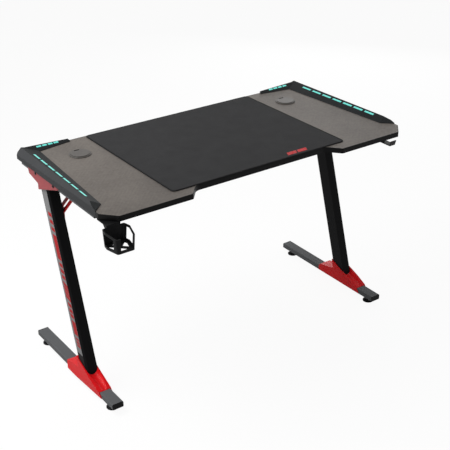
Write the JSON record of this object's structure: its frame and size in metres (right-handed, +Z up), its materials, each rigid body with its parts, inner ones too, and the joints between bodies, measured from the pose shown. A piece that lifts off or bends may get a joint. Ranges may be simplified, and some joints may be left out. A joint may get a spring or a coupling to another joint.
{
  "type": "gaming desk",
  "caption": "Gaming desk with leaning legs on flat feet, red braces and covers, lit edge trims, cable grommets, a desk mat, a cup holder and a headphone hook.",
  "frame": {"origin": "on the floor, under the middle of the board", "axes": "+X to the sitter's right, +Y away from the sitter, +Z up"},
  "size_m": [1.2199, 0.6695, 0.75],
  "materials": {
    "carbon_laminate": "matt carbon-weave PVC film on particle board",
    "edge_pvc": "satin black edge band",
    "mat_cloth": "fine woven cloth on rubber",
    "trim_abs": "fine-textured charcoal moulding",
    "diffuser_acrylic": "milky acrylic with cyan light",
    "light_tape": "white flexible circuit",
    "grommet_abs": "fine-textured black moulding",
    "frame_steel": "fine-textured black powder coat",
    "cap_plastic": "black moulding",
    "red_abs": "glossy red moulding",
    "red_steel": "red powder coat",
    "pad_nylon": "black nylon",
    "insert_steel": "zinc-plated",
    "holder_abs": "fine-textured black moulding",
    "hook_steel": "black powder coat",
    "box_abs": "fine-textured black moulding",
    "button_silicone": "matt grey",
    "circuit_board": "green solder mask",
    "lead_pvc": "black PVC sheath",
    "clip_nylon": "black nylon",
    "black_fastener": "black oxide"
  },
  "bodies": {
    "desk": {"accessory_screws": "black_fastener", "beam_bolts": "black_fastener", "brace_bolts": "black_fastener", "control_board": "circuit_board", "control_box_cover": "box_abs", "control_box_tray": "box_abs", "corner_brace_left": "red_steel", "corner_brace_right": "red_steel", "crossbeam_front": "frame_steel", "crossbeam_rear": "frame_steel", "cup_holder": "holder_abs", "desk_mat": "mat_cloth", "edge_band_front": "edge_pvc", "edge_band_rear": "edge_pvc", "foot_bar_caps": "cap_plastic", "foot_bar_left": "frame_steel", "foot_bar_right": "frame_steel", "foot_bolts": "black_fastener", "foot_shroud_left": "red_abs", "foot_shroud_right": "red_abs", "grommet_ring_left": "grommet_abs", "grommet_ring_right": "grommet_abs", "gusset_screws": "black_fastener", "headphone_hook": "hook_steel", "lead_clips": "clip_nylon", "led_trim_left": "trim_abs", "led_trim_right": "trim_abs", "leg_gusset_left": "red_abs", "leg_gusset_right": "red_abs", "leg_left": "frame_steel", "leg_right": "frame_steel", "leveller_inserts": "insert_steel", "light_diffuser_rear_left": "diffuser_acrylic", "light_diffuser_rear_right": "diffuser_acrylic", "light_diffuser_side_left": "diffuser_acrylic", "light_diffuser_side_right": "diffuser_acrylic", "light_lead_left": "lead_pvc", "light_lead_right": "lead_pvc", "light_tape_rear_left": "light_tape", "light_tape_rear_right": "light_tape", "light_tape_side_left": "light_tape", "light_tape_side_right": "light_tape", "panel_screws": "black_fastener", "power_socket": "box_abs", "rail_bolts": "black_fastener", "side_rail_caps": "cap_plastic", "side_rail_left": "frame_steel", "side_rail_right": "frame_steel", "tabletop_panel": "carbon_laminate", "trim_screws": "black_fastener"},
    "leveller_front_left": {"leveller_front_left": "pad_nylon"},
    "leveller_rear_left": {"leveller_rear_left": "pad_nylon"},
    "grommet_cap_left": {"grommet_cap_left": "grommet_abs"},
    "leveller_front_right": {"leveller_front_right": "pad_nylon"},
    "leveller_rear_right": {"leveller_rear_right": "pad_nylon"},
    "grommet_cap_right": {"grommet_cap_right": "grommet_abs"},
    "control_button": {"control_button": "button_silicone"}
  },
  "joints": [
    {"name": "leveller_front_left_screw", "type": "slide", "parent": "desk", "child": "leveller_front_left", "axis": [0, 0, 1], "range_m": [-0.012, 0]},
    {"name": "leveller_rear_left_screw", "type": "slide", "parent": "desk", "child": "leveller_rear_left", "axis": [0, 0, 1], "range_m": [-0.012, 0]},
    {"name": "grommet_cap_left_turn", "type": "hinge", "parent": "desk", "child": "grommet_cap_left", "pos_m": [-0.43196, 0.16998, 0.737], "axis": [0, 0, 1], "continuous": true},
    {"name": "leveller_front_right_screw", "type": "slide", "parent": "desk", "child": "leveller_front_right", "axis": [0, 0, 1], "range_m": [-0.012, 0]},
    {"name": "leveller_rear_right_screw", "type": "slide", "parent": "desk", "child": "leveller_rear_right", "axis": [0, 0, 1], "range_m": [-0.012, 0]},
    {"name": "grommet_cap_right_turn", "type": "hinge", "parent": "desk", "child": "grommet_cap_right", "pos_m": [0.43196, 0.16998, 0.737], "axis": [0, 0, 1], "continuous": true},
    {"name": "control_button_press", "type": "slide", "parent": "desk", "child": "control_button", "axis": [0, 0, 1], "range_m": [0, 0.0015], "stiffness_N_per_m": 600, "springref_m": -0.0006}
  ]
}
